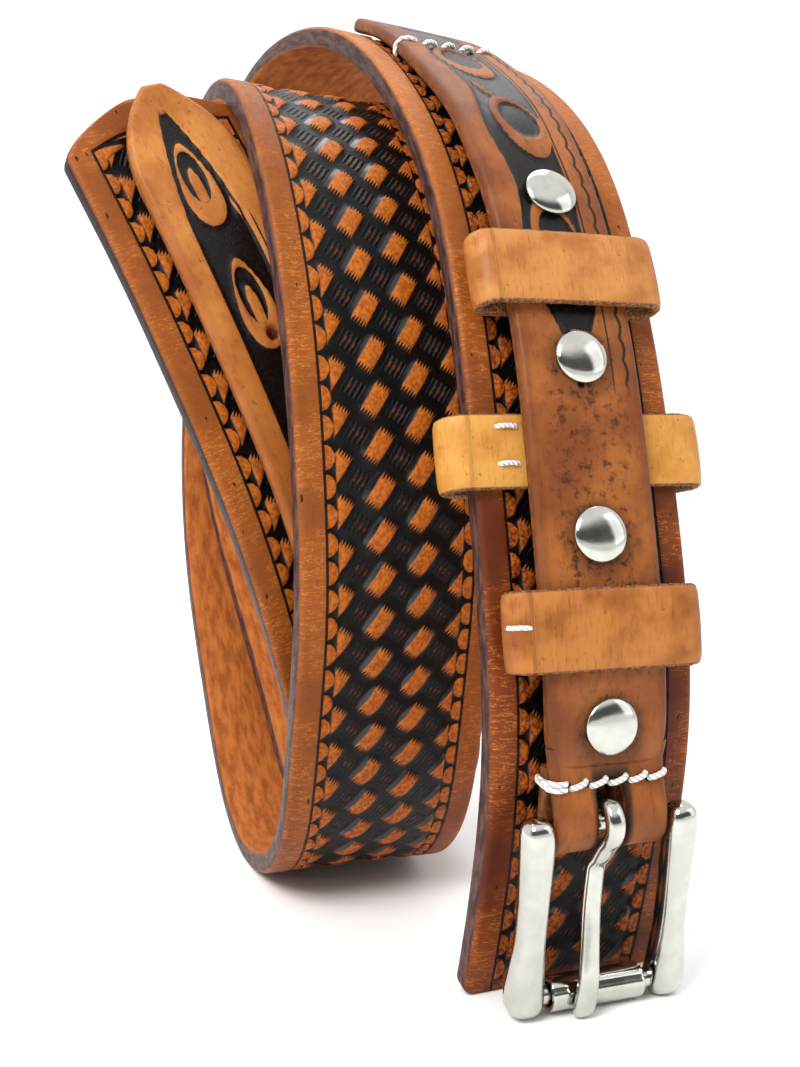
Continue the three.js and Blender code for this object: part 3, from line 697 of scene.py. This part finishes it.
def make_tongue(material):
    line = [(r * math.cos(math.radians(t)), r * math.sin(math.radians(t))) for t, r in HOOK] + SHANK
    fine = refine(line, 110)
    drop, lift = fine[:, 0], fine[:, 1]
    share = np.linspace(0, 1, len(drop))
    run = np.gradient(fine, axis=0)
    run /= np.linalg.norm(run, axis=1)[:, None]
    up = np.stack([-run[:, 1], run[:, 0]], 1)
    blunt = np.sqrt(np.clip(1 - np.clip((share - 0.972) / 0.03, 0, 1) ** 2, 0.02, 1))
    start = np.sqrt(np.clip(1 - np.clip((0.02 - share) / 0.022, 0, 1) ** 2, 0.02, 1))
    wide = (3.3 + 0.5 * rise(share, 0.72, 0.95)) * blunt * start
    thick = (2.25 - 0.15 * rise(share, 0.5, 0.8)) * blunt * start
    cx, cy = superellipse(24, 2.9)
    middle = -0.7 - 3.1 * np.maximum(0, drop / 29.1)
    x = middle[:, None] + cx[None, :] * wide[:, None] / 2 * (1 - 0.16 * cy[None, :])
    offset = cy[None, :] * thick[:, None] / 2
    points = on_pivot(x, lift[:, None] + up[:, 1:] * offset, drop[:, None] + up[:, :1] * offset)
    lay = np.stack([x, lift[:, None] + 0 * x, drop[:, None] + 0 * x], -1)
    return finish_mesh("tongue_of_buckle", points, lay, ring_faces(*x.shape), "tongue", material)


# Thread
def thread_rings(path, radius, sides=10):
    """Rings of a thread with round ends along a path of (u, s, n)."""
    path = refine(path, 18)
    world = place(path[:, 0], path[:, 1], path[:, 2])
    run = np.gradient(world, axis=0)
    run /= np.linalg.norm(run, axis=1)[:, None]
    out = place(path[:, 0], path[:, 1], path[:, 2] + 1) - world
    side = np.cross(run, out)
    side /= np.linalg.norm(side, axis=1)[:, None]
    up = np.cross(side, run)
    t = np.linspace(0, 1, len(path))
    size = radius * np.sqrt(np.clip(1 - (2 * t - 1) ** 8, 0.03, 1))
    a = np.linspace(0, 2 * math.pi, sides, endpoint=False)
    ring = side[:, None] * np.cos(a)[None, :, None] + up[:, None] * np.sin(a)[None, :, None]
    points = world[:, None] + ring * size[:, None, None]
    lay = np.stack([np.repeat((t * 4)[:, None], sides, 1), np.repeat(a[None, :], len(path), 0),
                    np.zeros((len(path), sides))], -1)
    return points, lay


def fold_face(u, s):
    """Height of the fold's front face."""
    front = refine(fold_path()[:12], 60)
    return float(np.interp(s, front[::-1, 0], front[::-1, 1])) + FOLD_THICK / 2


def make_thread(material):
    runs = []
    seam = 41.6
    for k, u in enumerate((-6.0, -2.3, 1.4, 5.1, 8.7)):
        high = fold_face(u, seam) + 0.1
        s = seam + 0.12 * k
        runs.append(([(u - 1.7, s - 0.55, high - 0.75), (u - 1.1, s - 0.35, high + 0.2), (u, s, high + 0.42),
                      (u + 1.1, s + 0.35, high + 0.2), (u + 1.7, s + 0.55, high - 0.75)], 0.5))
    for k in (-0.45, 0.45):
        high = fold_face(-9, seam) + 0.15
        runs.append(([(-7.9, seam + k, high - 0.7), (-8.6, seam + k, high + 0.3),
                      (-10.2, seam + k, high + 0.2),
                      (-11.0, seam + k, high - 0.8), (-11.25, seam + k * 0.6, high - 2.6),
                      (-11.1, seam + k * 0.4, high - 4.6), (-10.2, seam, high - 6.0)], 0.5))
    for u, lean in ((-6.3, 0.2), (-2.3, 0.6), (1.7, 0.5), (5.6, 0.3)):
        s = 186.5
        high = float(buckle_under(s)) + BILLET_THICK + 0.15
        runs.append(([(u - 1.6, s - lean, high - 0.7), (u - 1.0, s - lean * 0.6, high + 0.2),
                      (u, s, high + 0.45),
                      (u + 1.0, s + lean * 0.6, high + 0.2), (u + 1.6, s + lean, high - 0.7)], 0.5))
    high = float(buckle_under(188)) + BILLET_THICK + 0.1
    runs.append(([(-8.6, 187.4, high - 0.6), (-9.4, 187.6, high + 0.25), (-11.2, 188, high + 0.1),
                  (-12.6, 187.8, high - 0.9), (-13.0, 187.2, high - 2.3), (-12.8, 186.4, high - 3.3)], 0.45))
    for along in (98.4, 92.2):
        runs.append(([(-15.6, along, 4.0), (-15.0, along, 4.85), (-13.5, along + 0.1, 5.0),
                      (-12.1, along, 4.85),
                      (-11.6, along, 4.0)], 0.42))
    runs.append(([(-17.1, 65.6, 6.9), (-17.6, 65.6, 7.4), (-17.05, 65.5, 8.6), (-16.1, 65.5, 9.55),
                  (-14.9, 65.4, 10.1), (-14.2, 65.4, 9.5)], 0.42))
    points, lay, faces, start = [], [], [], 0
    for path, radius in runs:
        rings, rings_lay = thread_rings(path, radius)
        points.append(rings.reshape(-1, 3))
        lay.append(rings_lay.reshape(-1, 3))
        faces += ring_faces(rings.shape[0], rings.shape[1], start=start)
        start += rings.shape[0] * rings.shape[1]
    return finish_mesh("stitches", np.vstack(points), np.vstack(lay), faces, "belt", material)


# Materials
class Paint:
    """A material with its place on the leather at hand."""

    def __init__(self, name):
        self.material = bpy.data.materials.new(name)
        self.material.use_nodes = True
        self.tree = self.material.node_tree
        self.surface = self.tree.nodes["Principled BSDF"]
        lay = self.tree.nodes.new("ShaderNodeAttribute")
        lay.attribute_name = "lay"
        self.lay = Flow(self.tree, lay.outputs["Vector"])
        parts = self.tree.nodes.new("ShaderNodeSeparateXYZ")
        self.tree.links.new(lay.outputs["Vector"], parts.inputs[0])
        self.u, self.s, self.n = (Flow(self.tree, out) for out in parts.outputs)

    def vector(self, x, y, z=0.0):
        return self.lay.node("ShaderNodeCombineXYZ", {}, {0: x, 1: y, 2: z})

    def noise(self, vector, scale, detail=3.0, rough=0.55, warp=0.0):
        values = {"Vector": vector, "Scale": scale, "Detail": detail, "Roughness": rough, "Distortion": warp}
        return self.lay.node("ShaderNodeTexNoise", {"noise_dimensions": "3D"}, values, "Fac")

    def cells(self, vector, scale, feature="F1"):
        return self.lay.node("ShaderNodeTexVoronoi", {"feature": feature}, {"Vector": vector, "Scale": scale},
                             "Distance")

    def mix(self, amount, first, second):
        return self.lay.node("ShaderNodeMix", {"data_type": "RGBA"}, {0: amount, 6: first, 7: second}, 2)

    def set(self, colour, rough, metallic=0.0, coat=0.0, depth=1.36):
        colour = colour.node("ShaderNodeGamma", {}, {"Color": colour, "Gamma": depth})
        values = {"Base Color": colour, "Roughness": rough, "Metallic": metallic, "Coat Weight": coat}
        for name, value in values.items():
            self.lay.feed(self.surface.inputs[name], value)
        self.surface.inputs["Coat Roughness"].default_value = 0.22
        self.surface.inputs["Specular IOR Level"].default_value = 0.2

    def bump(self, height, depth=1.0):
        values = {"Height": height, "Strength": 1.0, "Distance": depth * MM}
        self.lay.feed(self.surface.inputs["Normal"], self.lay.node("ShaderNodeBump", {}, values))
        return self.material


def strap_material():
    p = Paint("saddle_leather")
    u, s, n = p.u, p.s, p.n
    side = edge_place(u, s)
    face = rise(n, 1.2, 1.9)
    flesh = rise(n, -1.5, -2.0)
    inside = rise(side, BORDER + 0.22, BORDER + 0.02)
    field = rise(side, FIELD + 0.25, FIELD - 0.15)
    ends = rise(s, 2.0, 3.2)
    bars = weave_bars(u, s) * field
    dots = weave_dots(u, s) * field
    half_moons = scallops(u, s)
    line = between(side, BORDER - 0.22, BORDER + 0.18, 0.1)
    cloud = p.noise(p.lay, 0.055, 3.0)
    fine = p.noise(p.lay, 1.6, 4.0, 0.6)
    pores = p.noise(p.vector(u * 2.2, s * 2.2, n), 1.0, 2.0)
    wrinkle = p.noise(p.vector(u * 0.22, s * 1.5 + fine * 0.35, n * 0.2), 1.0, 3.0, 0.6)
    crackle = rise(size_of(wrinkle - 0.5), 0.022, 0.0) * rise(cloud, 0.40, 0.56)
    spots = p.noise(p.vector(u * 0.9, s * 0.33, 4.0), 1.0, 1.0)
    nick = rise(spots, 0.735, 0.76) * between(side, 14.6, 18.4, 0.2)
    # Painted light and shade: high and front mark the stretches of the strap that are coloured lighter, s 60
    # to 330 and past s 470, and bright joins them; the rest of the strap, most of all below s 100, is left
    # darker as painted shade.
    high = rise(s, 60.0, 190.0) * rise(s, 330.0, 230.0)
    front = rise(s, 470.0, 560.0)
    bright = larger(high, front * 0.55)
    saddle = p.mix(rise(cloud, 0.3, 0.72), (0.15, 0.036, 0.008), (0.33, 0.104, 0.020))
    # Painted light: the saddle colour is lifted towards pale tan where bright is high.
    saddle = p.mix(bright * 0.72, saddle, (0.56, 0.235, 0.048))
    saddle = p.mix(rise(fine, 0.52, 0.74) * 0.35, saddle, (0.24, 0.055, 0.012))
    saddle = p.mix(crackle * 0.55, saddle, (0.80, 0.42, 0.13))
    saddle = p.mix(nick * 0.85, saddle, (0.03, 0.012, 0.008))
    streak = p.noise(p.vector(u * 1.1, s * 0.9, 9.0), 1.6, 3.0)
    wear_and_painted_light = p.mix(rise(streak, 0.35, 0.65), (0.23, 0.054, 0.008), (0.54, 0.190, 0.026))
    # Painted light on real wear: the rubbed tops of the stamps are made lighter again on the same lit
    # stretches.
    wear_and_painted_light = p.mix(front * 0.35 + high * 0.1, wear_and_painted_light, (0.68, 0.28, 0.045))
    ground = p.mix(rise(fine, 0.45, 0.7), (0.004, 0.0035, 0.0035), (0.014, 0.007, 0.005))
    tooled = p.mix(bars, ground, wear_and_painted_light)
    tooled = p.mix(dots * rise(streak, 0.4, 0.55) * 0.75, tooled, (0.30, 0.07, 0.015))
    tooled = p.mix(half_moons, tooled, wear_and_painted_light)
    grain = p.mix(inside * ends, saddle, tooled)
    grain = p.mix(line * 0.95, grain, (0.02, 0.010, 0.008))
    fibre = p.noise(p.vector(u * 0.5, s * 0.12, n), 1.3, 4.0)
    suede = p.mix(rise(fibre, 0.3, 0.7), (0.36, 0.125, 0.030), (0.56, 0.235, 0.065))
    suede = p.mix(rise(fine, 0.5, 0.75) * 0.4, suede, (0.62, 0.30, 0.11))
    burnish = p.mix(rise(p.noise(p.vector(u, s * 0.3, n * 1.2), 0.8), 0.35, 0.65), (0.075, 0.036, 0.032),
                    (0.19, 0.105, 0.09))
    burnish = p.mix(rise(s, 985.0, 1040.0) * rise(s, 1099.0, 1094.0) * 0.8, burnish, (0.022, 0.018, 0.017))
    colour = p.mix(face, burnish, grain)
    colour = p.mix(flesh, colour, suede)
    dark = inside * ends * face * (1 - larger(bars, half_moons))
    p_bar, q_bar = weave_cell(u, s)
    wall = rise(q_bar, -1.35, -1.65) * rise(q_bar, -2.7, -2.2) * rise(size_of(p_bar), 3.1, 2.5) * field * face
    rough = 0.50 + rise(fine, 0.4, 0.7) * 0.12 - dark * 0.10 + flesh * 0.18 - wall * 0.12
    p.set(colour, rough, coat=0.02 + wall * 0.75)
    p_rib, q_rib = weave_cell(u - 3.95, s - 5.55)
    stamp = rise(size_of(p_rib), 1.9, 1.3) * rise(size_of(q_rib), 2.1, 1.7) * field * (1 - bars)
    ribs = wave(q_rib * (2 * math.pi / 0.95)) * stamp
    height = (bars * 0.16 + ribs * 0.09 + half_moons * 0.12) * inside - line * 0.3 * (1 - half_moons * 0.3)
    height = height * face + fine * 0.05 + pores * 0.035 + wrinkle * 0.05 + fibre * flesh * 0.1
    return p.bump(height - nick * 0.12)


def billet_material(name, ground_of, warm, pale, deep, tooled_low, tooled_high):
    p = Paint(name)
    u, s, n = p.u, p.s, p.n
    side = size_of(u)
    top = rise(n, 1.5, 2.4)
    cloud = p.noise(p.lay, 0.09, 3.0)
    fine = p.noise(p.lay, 1.8, 4.0, 0.62)
    speck = rise(p.noise(p.lay, 0.75, 2.0), 0.66, 0.72)
    streak = p.noise(p.vector(u * 1.2, s * 0.35, n), 1.2, 4.0, 0.6)
    tan = p.mix(rise(cloud, 0.32, 0.7), warm, pale)
    tan = p.mix(rise(streak, 0.5, 0.75) * 0.4, tan, deep)
    tan = p.mix(rise(fine, 0.55, 0.78) * 0.3, tan, pale)
    tan = p.mix(speck * 0.35, tan, (0.10, 0.04, 0.018))
    shoulder = rise(side, 8.6, 10.6)
    tan = p.mix(shoulder * 0.4, tan, deep)
    scuff = rise(p.noise(p.vector(u * 0.5, s * 0.5, 3.0), 1.0, 4.0, 0.7), 0.5, 0.66) * rise(side, 9.5, 5.0)
    tan = p.mix(scuff * between(s, 58.0, 106.0, 8.0) * 0.7, tan, (0.045, 0.02, 0.012))
    # Painted shadow: a dark ring round each of the first three snap caps, darker still where the scuffs fall.
    for at in SNAPS[:3]:
        painted_snap_shadow = rise((u / 7.6) ** 2 + ((s - at + 1.0) / 7.6) ** 2, 1.0, 0.42)
        tan = p.mix(painted_snap_shadow * (0.35 + scuff * 0.5), tan, (0.06, 0.024, 0.012))
    # Darker round the tongue's slot: a band about 7 mm wide down the middle of the fold, below s 44.
    darker_round_slot = rise(side, 4.1, 2.85) * rise(s, 44.6, 42.4)
    tan = p.mix(darker_round_slot * 0.85, tan, (0.035, 0.014, 0.008))
    prick = u + 4.15 - nearest((u + 4.15) / 3.7) * 3.7
    prick = rise((prick / 0.6) ** 2 + ((s - 41.6) / 0.6) ** 2, 1.2, 0.4) * rise(side, 10.4, 9.8)
    tan = p.mix(prick * 0.95, tan, (0.02, 0.01, 0.008))
    ground = ground_of(u, s) * top
    ink = p.mix(rise(fine, 0.45, 0.7), (0.010, 0.008, 0.008), (0.05, 0.022, 0.015))
    rim = rise(ground, 0.02, 0.4) * rise(ground, 0.98, 0.6)
    panel = between(s, tooled_low, tooled_high, 2.0)
    groove = between(size_of(side - 5.75), -0.1, 0.12, 0.08) * panel * top * rise(u, -1.0, 1.0)
    nicks = size_of(wave(s * 0.78)) * 0.55
    groove = larger(groove, rise(size_of(u - 8.1 - nicks), 0.34, 0.16) * panel * top * rise(cloud, 0.3, 0.4))
    colour = p.mix(rim * 0.5, tan, (0.16, 0.05, 0.015))
    colour = p.mix(rise(ground, 0.35, 0.65), colour, ink)
    colour = p.mix(groove * 0.9, colour, (0.03, 0.014, 0.01))
    wall = rise(n, 2.0, 0.9)
    fray = rise(p.noise(p.vector(u, s * 0.5, n), 1.4, 4.0), 0.4, 0.66)
    edge = p.mix(fray, (0.20, 0.09, 0.045), (0.40, 0.19, 0.08))
    colour = p.mix(wall * 0.75, colour, edge)
    rough = 0.5 + rise(fine, 0.4, 0.7) * 0.1 - ground * 0.16
    p.set(colour, rough, coat=0.1)
    height = fine * 0.05 + streak * 0.05 + p.noise(p.lay, 4.0, 2.0) * 0.03 - groove * 0.3 - ground * 0.12
    return p.bump(height - speck * 0.03)


def keeper_material(name, warm, pale, deep):
    p = Paint(name)
    run, across, d = p.u, p.s, p.n
    rim = rise(size_of(across), 5.35, 6.2)
    wall = larger(rise(d, 0.85, 0.3), rise(size_of(across), 5.8, 6.15))
    cloud = p.noise(p.vector(run * 0.5, across * 0.5, d), 0.3, 3.0)
    streak = p.noise(p.vector(run * 1.6, across * 0.3, d), 1.2, 4.0, 0.62)
    fine = p.noise(p.lay, 2.2, 4.0, 0.6)
    tan = p.mix(rise(cloud, 0.3, 0.68), warm, pale)
    tan = p.mix(rise(streak, 0.5, 0.75) * 0.45, tan, deep)
    tan = p.mix(rise(p.noise(p.lay, 0.7, 2.0), 0.67, 0.73) * 0.4, tan, (0.16, 0.06, 0.02))
    edge = p.mix(rise(fine, 0.4, 0.65), (0.14, 0.06, 0.03), (0.42, 0.24, 0.12))
    colour = p.mix(rim * 0.35, tan, pale)
    colour = p.mix(wall * 0.9, colour, edge)
    p.set(colour, 0.52 + wall * 0.25, coat=0.08)
    height = streak * 0.06 + fine * (0.05 + wall * 0.22) + p.noise(p.lay, 5.0, 2.0) * 0.03
    return p.bump(height)


def metal_material(name, scuffs):
    p = Paint(name)
    broad = p.noise(p.lay, 0.35, 2.0)
    scratch = p.noise(p.vector(p.u * 0.4, p.s * 5.0, p.n * 0.5), 1.6, 3.0, 0.7)
    colour = p.mix(rise(broad, 0.35, 0.7), (0.50, 0.50, 0.455), (0.56, 0.56, 0.515))
    colour = p.mix(rise(scratch, 0.66, 0.8) * 0.25, colour, (0.45, 0.43, 0.40))
    rough = 0.09 + rise(scratch, 0.5, 0.8) * 0.09 * scuffs + rise(broad, 0.4, 0.7) * 0.05
    p.set(colour, rough, metallic=1.0, depth=1.0)
    return p.bump(scratch * 0.006 * scuffs + broad * 0.012, 1.0)


def thread_material():
    p = Paint("waxed_thread")
    twist = wave(p.u * 9.0 + p.s * 2.0)
    # Painted shade: the thread is coloured darker in the grooves of its twist, where the bump sinks too.
    colour = p.mix(rise(twist, -0.8, 0.2), (0.50, 0.49, 0.46), (0.90, 0.89, 0.86))
    p.set(colour, 0.55, depth=1.0)
    return p.bump(twist * 0.09)


SADDLE = strap_material()
BUCKLE_TAN = billet_material("tan_leather", carve_ground, (0.27, 0.098, 0.026), (0.43, 0.185, 0.056),
                             (0.15, 0.046, 0.012), 104.0, 203.0)
TIP_TAN = billet_material("tan_leather_point", tip_ground, (0.44, 0.185, 0.048), (0.60, 0.300, 0.095),
                          (0.28, 0.085, 0.015), 975.0, 1070.0)
KEEPER_TAN = keeper_material("keeper_leather",
                             (0.36, 0.145, 0.038), (0.54, 0.260, 0.085), (0.23, 0.075, 0.018))
KEEPER_TOP = keeper_material("keeper_leather_pale",
                             (0.44, 0.195, 0.058), (0.60, 0.315, 0.115), (0.31, 0.115, 0.030))
HONEY = keeper_material("honey_leather", (0.56, 0.290, 0.072), (0.68, 0.400, 0.130), (0.40, 0.17, 0.035))
NICKEL = metal_material("polished_nickel", 1.0)
THREAD = thread_material()

strap = make_strap(SADDLE)
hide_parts("main_strap")

billet = make_buckle_billet(BUCKLE_TAN)
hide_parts("buckle_billet")
fold = make_fold(BUCKLE_TAN)

tip = make_tip_billet(TIP_TAN)
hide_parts("tip_billet")

BILLET_TOP = BILLET_UNDER + BILLET_THICK + 0.35 + KEEPER_THICK
for name, node, centre, reach, under, top, swell, seed, material, slot in (
    ("lower_keeper", "keeper_lower", 64.8, 17.6, LAY_DOWN, BILLET_TOP, 0.35, 11, KEEPER_TAN, "tan_leather"),
    ("middle_keeper", "keeper_middle", 94.4, 24.4, -4.55, 4.55, 0.0, 12, HONEY, "honey_leather"),
    ("upper_keeper", "keeper_upper", 124.0, 17.6, LAY_DOWN, BILLET_TOP, 0.35, 13, KEEPER_TOP, "tan_leather"),
):
    keeper = make_keeper(name, centre, reach, under, top, swell, seed, material)
    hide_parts(node)

for k, s in enumerate(SNAPS):
    snap = make_snap(f"snap_cap_{k + 1}", s, float(buckle_under(s)), NICKEL)
    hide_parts(f"snap_{k + 1}")
snap = make_snap("snap_cap_point", TIP_SNAP, float(tip_under(TIP_SNAP)), NICKEL)
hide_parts("tip_snap")

for made, node in ((make_buckle_frame(NICKEL), "buckle_frame"), (make_roller(NICKEL), "buckle_roller"),
                   (make_tongue(NICKEL), "buckle_tongue")):
    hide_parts(node)

make_thread(THREAD)


# Floor, light and camera
def make_floor():
    mesh = bpy.data.meshes.new("floor")
    mesh.from_pydata([(-20, -20, 0), (20, -20, 0), (20, 40, 0), (-20, 40, 0)], [], [(0, 1, 2, 3)])
    made = bpy.data.objects.new("floor", mesh)
    bpy.context.scene.collection.objects.link(made)
    paint = bpy.data.materials.new("pale_floor")
    paint.use_nodes = True
    surface = paint.node_tree.nodes["Principled BSDF"]
    surface.inputs["Base Color"].default_value = (0.98, 0.98, 0.98, 1)
    surface.inputs["Roughness"].default_value = 0.6
    surface.inputs["Specular IOR Level"].default_value = 0.1
    mesh.materials.append(paint)


def make_light(name, place_m, aim_m, wide, tall, watts, tint):
    lamp = bpy.data.lights.new(name, "AREA")
    lamp.shape = "RECTANGLE"
    lamp.size = wide
    lamp.size_y = tall
    lamp.energy = watts
    lamp.color = tint
    made = bpy.data.objects.new(name, lamp)
    bpy.context.scene.collection.objects.link(made)
    way = np.array(aim_m) - np.array(place_m)
    from_z = Vector(way).to_track_quat("-Z", "Y")
    made.location = place_m
    made.rotation_euler = from_z.to_euler()


make_floor()
make_light("key", (-0.55, -0.45, 0.75), (0, 0, 0.09), 0.4, 0.4, 8.0, (1.0, 0.985, 0.96))
make_light("fill", (0.75, -0.5, 0.45), (0, 0, 0.08), 0.5, 0.7, 1.6, (0.97, 0.985, 1.0))
make_light("top", (0.1, 0.35, 0.9), (0, 0, 0.1), 0.7, 0.5, 3.0, (1.0, 1.0, 1.0))

world = bpy.data.worlds.new("studio")
bpy.context.scene.world = world
world.use_nodes = True
tree = world.node_tree
sky = tree.nodes["Background"]
way = Flow(tree, tree.nodes.new("ShaderNodeTexCoord").outputs["Generated"])
parts = tree.nodes.new("ShaderNodeSeparateXYZ")
tree.links.new(way.socket, parts.inputs[0])
ahead = Flow(tree, parts.outputs[1])
above = Flow(tree, parts.outputs[2])
low_sky = rise(above, 0.16, 0.07)
bright = larger(larger(rise(ahead, -0.55, 0.1), rise(above, 0.45, 0.75)), low_sky) * 0.9 + 0.1
ends = {0: bright, 6: (0.0, 0.0, 0.0), 7: (1.0, 1.0, 1.0)}
tint = way.node("ShaderNodeMix", {"data_type": "RGBA"}, ends, 2)
way.feed(sky.inputs["Color"], tint)
sky.inputs["Strength"].default_value = 1.18

FOCAL_PX, YAW, PITCH = 1497.35, 0.365044, 0.128572
EYE = np.array([-116.43, -227.73, 111.68])
lens = bpy.data.cameras.new("camera")
lens.sensor_width = 36
lens.lens = FOCAL_PX * 36 / 1067
lens.clip_start = 0.01
camera = bpy.data.objects.new("camera", lens)
bpy.context.scene.collection.objects.link(camera)
camera.location = (EYE + SHIFT) * MM
camera.rotation_euler = (math.pi / 2 - PITCH, 0, -YAW)
bpy.context.scene.camera = camera
bpy.context.scene.view_settings.view_transform = "Standard"
